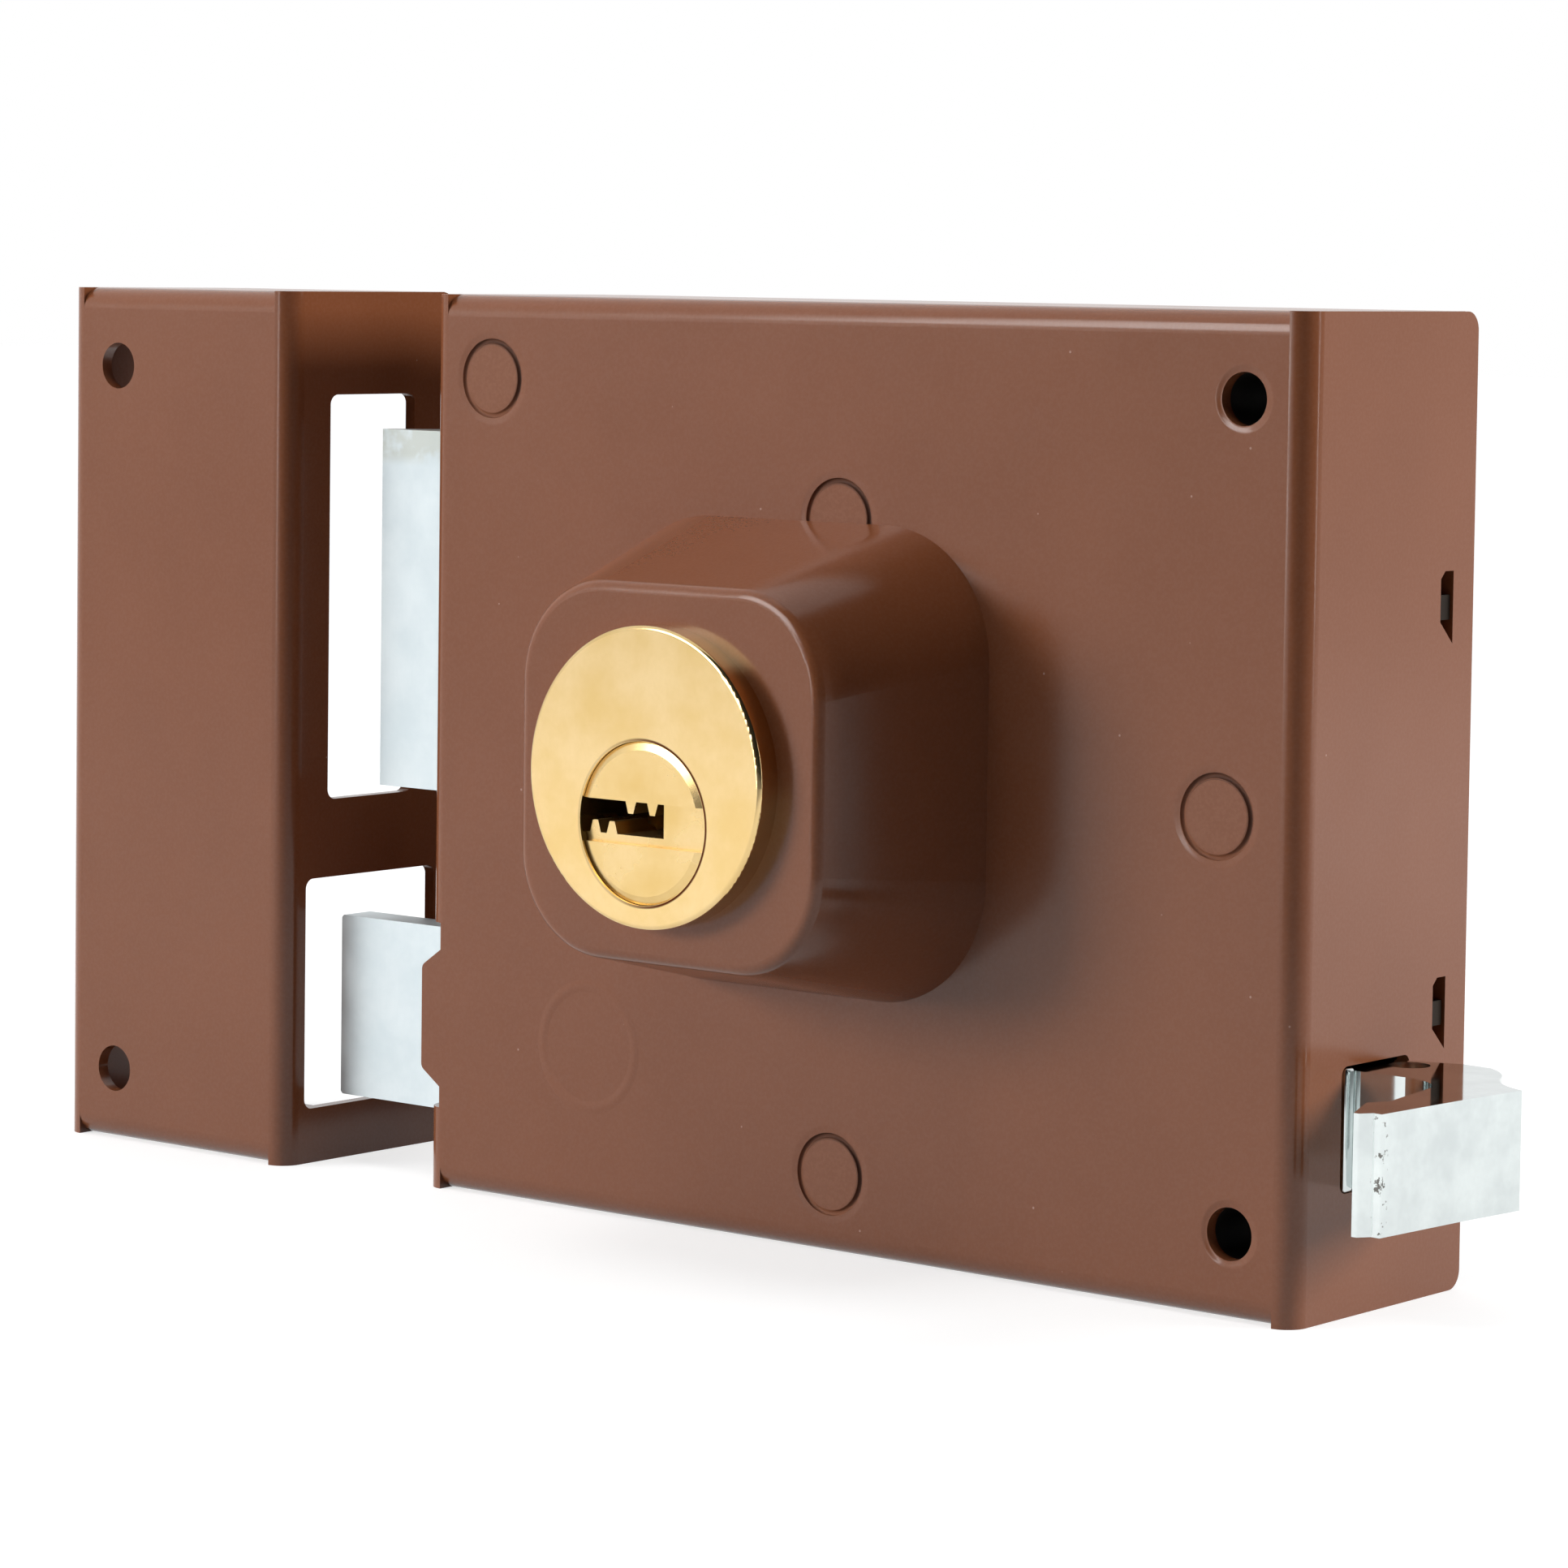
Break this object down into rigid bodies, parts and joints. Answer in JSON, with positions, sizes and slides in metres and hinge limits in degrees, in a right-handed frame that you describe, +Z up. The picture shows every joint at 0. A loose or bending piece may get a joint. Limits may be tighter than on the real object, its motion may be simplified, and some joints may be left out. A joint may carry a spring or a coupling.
{
  "type": "rim box lock",
  "caption": "Surface-mounted box lock with a spring latch, a key-thrown deadbolt, a finger pull and a separate strike box.",
  "frame": {"origin": "centre of the outer cylinder's hole, on the back face of the case, which is also the axis of the plug", "axes": "+X from the strike towards the pull, +Y out of the case's back towards the door, +Z up"},
  "size_m": [0.1971, 0.0555, 0.1027],
  "materials": {
    "enamel": "glossy brown stoving enamel",
    "zinc_steel": "zinc plated",
    "bolt_steel": "satin nickel plated",
    "brass": "polished",
    "spring_steel": "oiled wire",
    "chrome": "mirror plated over copper"
  },
  "bodies": {
    "case": {"case_cover": "enamel", "base_plate": "zinc_steel", "case_pillars": "enamel", "screw_sleeves": "zinc_steel", "cylinder_housing": "enamel", "housing_screws": "zinc_steel", "cylinder_body": "brass", "cylinder_clip": "zinc_steel", "driver_pins": "brass", "pin_springs": "spring_steel", "deadbolt_studs": "zinc_steel", "latch_spring": "spring_steel"},
    "plug": {"plug": "brass", "key_pins": "brass", "plug_cam": "zinc_steel", "cam_circlip": "zinc_steel"},
    "deadbolt": {"deadbolt": "bolt_steel"},
    "latch": {"latch_bolt": "bolt_steel", "latch_slide": "zinc_steel", "latch_rivets": "zinc_steel", "latch_rod": "zinc_steel", "pull": "chrome", "pull_rivets": "zinc_steel"},
    "strike": {"strike_box": "enamel"}
  },
  "joints": [
    {"name": "plug_turn", "type": "hinge", "parent": "case", "child": "plug", "pos_m": [0, -0.03, 0], "axis": [0, -1, 0], "range_deg": [0, 360]},
    {"name": "deadbolt_throw", "type": "slide", "parent": "case", "child": "deadbolt", "axis": [1, 0, 0], "range_m": [0, 0.016]},
    {"name": "latch_retract", "type": "slide", "parent": "case", "child": "latch", "axis": [1, 0, 0], "range_m": [0, 0.013], "stiffness_N_per_m": 250, "springref_m": -0.02, "deforming": ["latch_spring"]},
    {"name": "strike_approach", "type": "slide", "parent": "case", "child": "strike", "axis": [1, 0, 0], "range_m": [0, 0.0163]}
  ],
  "couplings": [
    {"joint": "plug_turn", "follows": "deadbolt_throw", "rad_per_m": 392.7}
  ]
}
